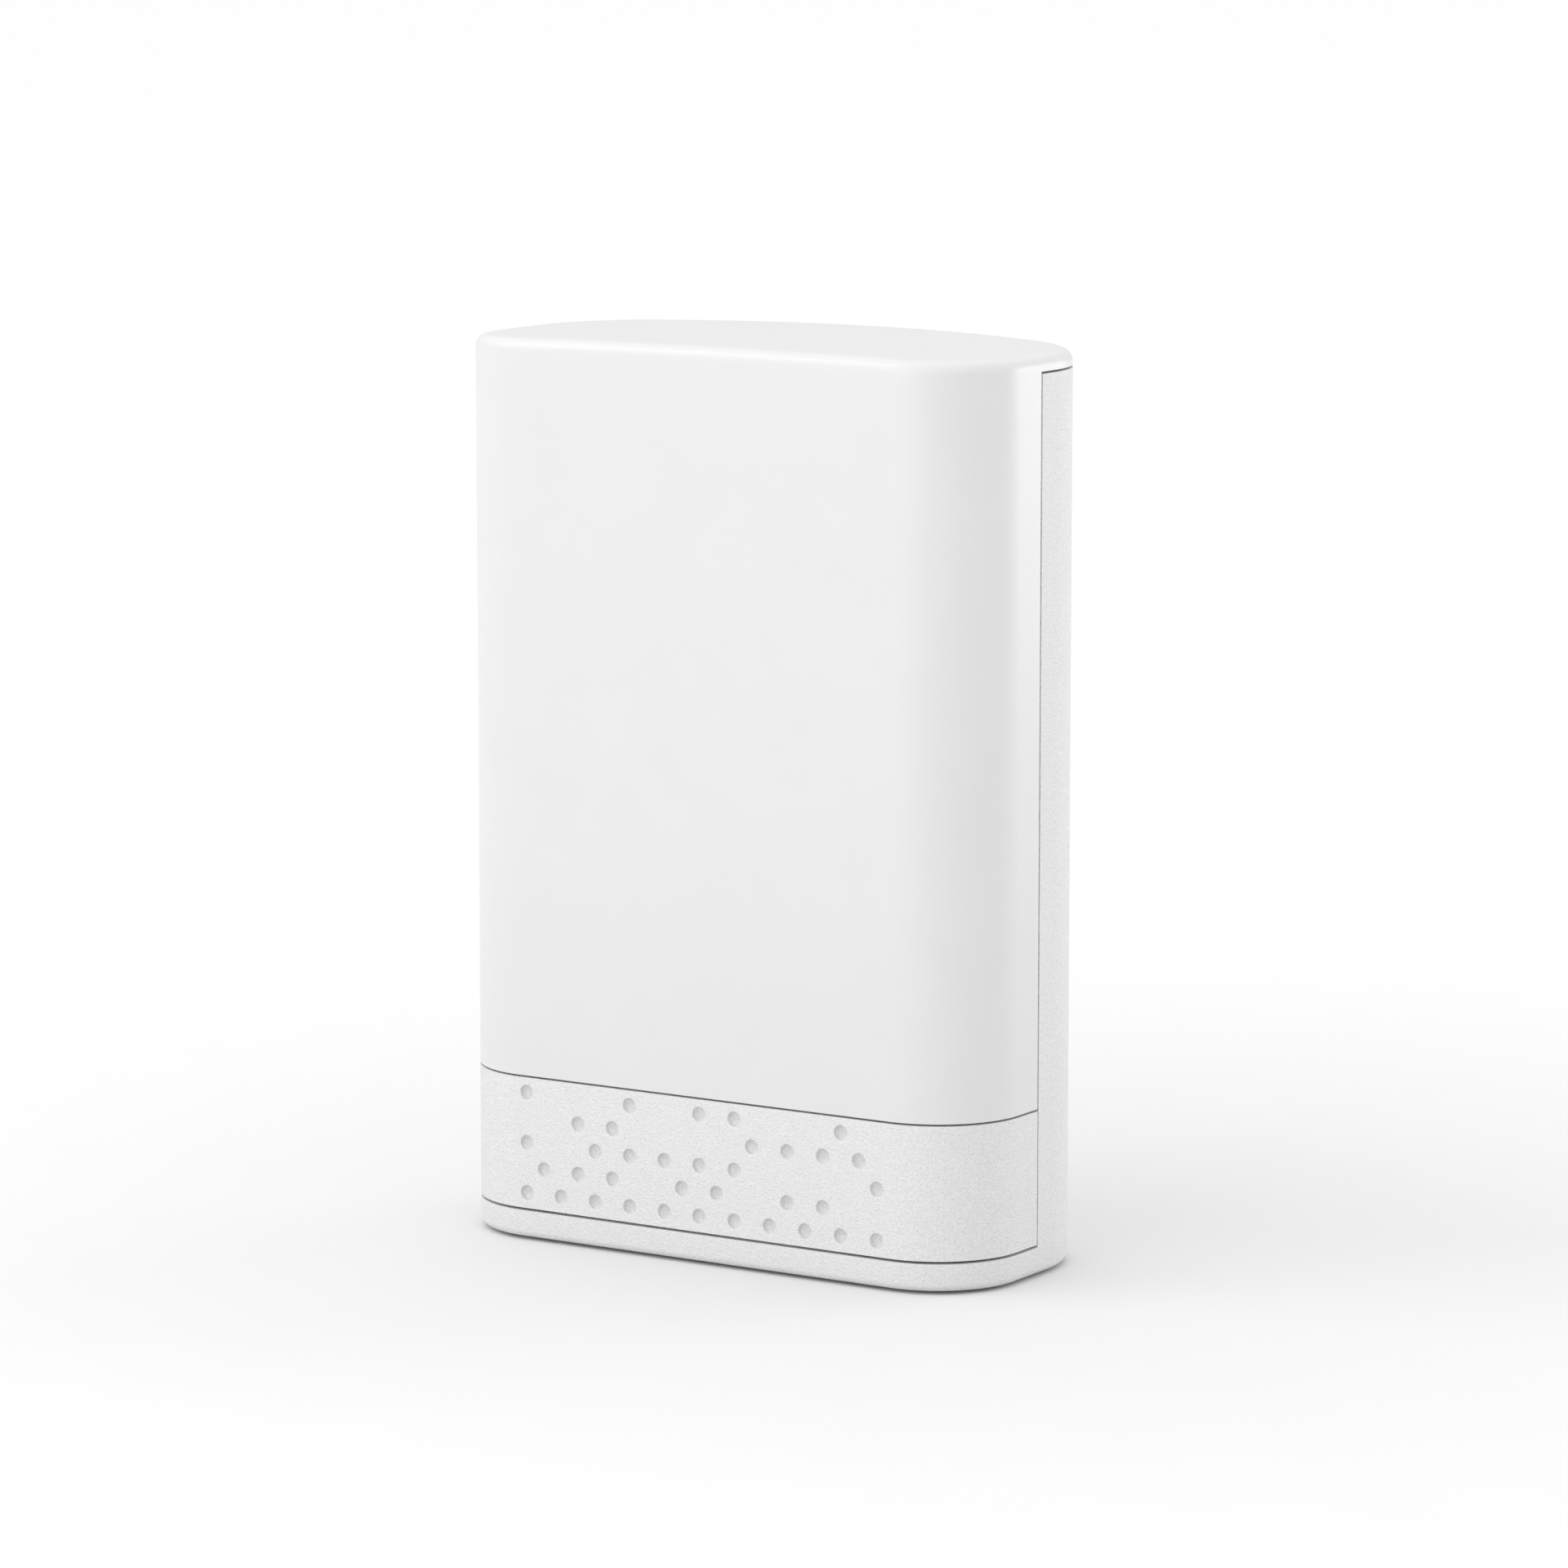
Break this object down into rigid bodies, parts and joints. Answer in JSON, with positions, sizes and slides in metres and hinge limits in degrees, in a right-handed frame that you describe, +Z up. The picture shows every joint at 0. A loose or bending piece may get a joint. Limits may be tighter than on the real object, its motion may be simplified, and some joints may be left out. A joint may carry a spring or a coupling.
{
  "type": "wireless router",
  "caption": "Upright wireless router: smooth white cover over a dimpled grained band and a bowed grained back, with network, USB and power sockets in a back recess.",
  "frame": {"origin": "under the middle of the router, on the surface it stands on", "axes": "+X to the router's right seen from the front, +Y to the back, +Z up"},
  "size_m": [0.14, 0.0696, 0.2063],
  "materials": {
    "cover_plastic": "smooth satin white moulding",
    "grained_plastic": "fine spark-eroded grain, white",
    "frame_plastic": "plain dark grey moulding",
    "board": "green solder mask over glass laminate",
    "cable_jacket": "thin black coaxial jacket",
    "contact_metal": "gold-flashed contact alloy",
    "shield_metal": "tinned sheet steel",
    "wan_plastic": "moulded blue nylon",
    "socket_plastic": "moulded black nylon",
    "key_plastic": "fine-grained grey moulding",
    "chip_resin": "moulded epoxy",
    "heat_sink_metal": "extruded, plain",
    "can_metal": "bright can",
    "pad_rubber": "soft grey-blue gap filler",
    "screw_steel": "zinc plated",
    "pin_plastic": "natural nylon",
    "foot_rubber": "soft dark rubber",
    "label": "blank film",
    "clear_plastic": "clear acrylic",
    "led_body": "diffused lamp body"
  },
  "bodies": {
    "case": {"aerial_cable_lower_left": "cable_jacket", "aerial_cable_lower_right": "cable_jacket", "aerial_cable_upper_left": "cable_jacket", "aerial_cable_upper_right": "cable_jacket", "aerial_lower_left": "board", "aerial_lower_right": "board", "aerial_plugs": "contact_metal", "aerial_upper_left": "board", "aerial_upper_right": "board", "board_screws": "screw_steel", "capacitors": "can_metal", "case_screws": "screw_steel", "dc_jack_body": "socket_plastic", "dc_jack_pin": "contact_metal", "dc_jack_spring": "contact_metal", "front_band": "grained_plastic", "front_cover": "cover_plastic", "heat_sink": "heat_sink_metal", "heat_sink_pins": "pin_plastic", "inner_frame": "frame_plastic", "jack_transformers": "chip_resin", "lan_jack_1_contacts": "contact_metal", "lan_jack_1_insert": "socket_plastic", "lan_jack_1_shield": "shield_metal", "lan_jack_2_contacts": "contact_metal", "lan_jack_2_insert": "socket_plastic", "lan_jack_2_shield": "shield_metal", "lan_jack_3_contacts": "contact_metal", "lan_jack_3_insert": "socket_plastic", "lan_jack_3_shield": "shield_metal", "light_guide": "clear_plastic", "main_board": "board", "memory_chips": "chip_resin", "power_chokes": "chip_resin", "power_switch": "socket_plastic", "radio_shields": "shield_metal", "rating_label": "label", "rear_housing": "grained_plastic", "reset_switch": "socket_plastic", "router_chip": "chip_resin", "rubber_feet": "foot_rubber", "status_leds": "led_body", "switch_chip": "chip_resin", "thermal_pad": "pad_rubber", "usb_contacts": "contact_metal", "usb_shell": "shield_metal", "usb_tongue": "socket_plastic", "wan_jack_contacts": "contact_metal", "wan_jack_insert": "wan_plastic", "wan_jack_shield": "shield_metal", "wps_switch": "socket_plastic"},
    "power_key": {"power_button": "key_plastic"},
    "wps_key": {"wps_button": "key_plastic"},
    "reset_key": {"reset_plunger": "key_plastic"}
  },
  "joints": [
    {"name": "power_key_press", "type": "slide", "parent": "case", "child": "power_key", "axis": [0, -1, 0], "range_m": [0, 0.0015], "stiffness_N_per_m": 400, "springref_m": -0.001},
    {"name": "wps_key_press", "type": "slide", "parent": "case", "child": "wps_key", "axis": [0, -1, 0], "range_m": [0, 0.0008], "stiffness_N_per_m": 400, "springref_m": -0.001},
    {"name": "reset_key_press", "type": "slide", "parent": "case", "child": "reset_key", "axis": [0, -1, 0], "range_m": [0, 0.0005], "stiffness_N_per_m": 400, "springref_m": -0.001}
  ]
}
